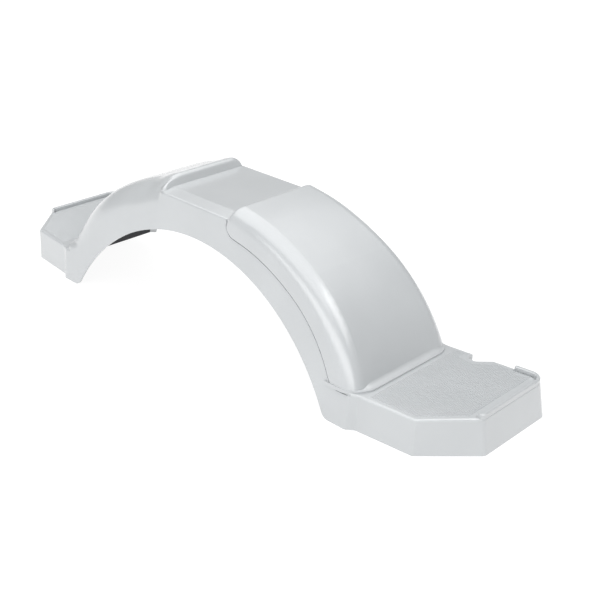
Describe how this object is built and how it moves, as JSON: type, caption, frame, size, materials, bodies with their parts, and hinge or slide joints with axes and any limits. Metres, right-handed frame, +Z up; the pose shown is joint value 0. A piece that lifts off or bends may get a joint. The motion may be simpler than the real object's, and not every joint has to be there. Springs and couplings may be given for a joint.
{
  "type": "trailer mudguard",
  "caption": "Arched one-piece plastic trailer mudguard with raised rounded panels on the slopes, a flat tread on top and an open-bottomed step at each end.",
  "frame": {"origin": "middle of the length and width, at the height of the lower rims", "axes": "+X along the trailer, -Y towards the outer side that shows the wheel, +Y towards the trailer body, +Z up"},
  "size_m": [1.2, 0.2779, 0.2861],
  "materials": {
    "shell": "semi-gloss moulded light grey"
  },
  "bodies": {
    "root": {"mudguard": "shell"}
  },
  "joints": []
}
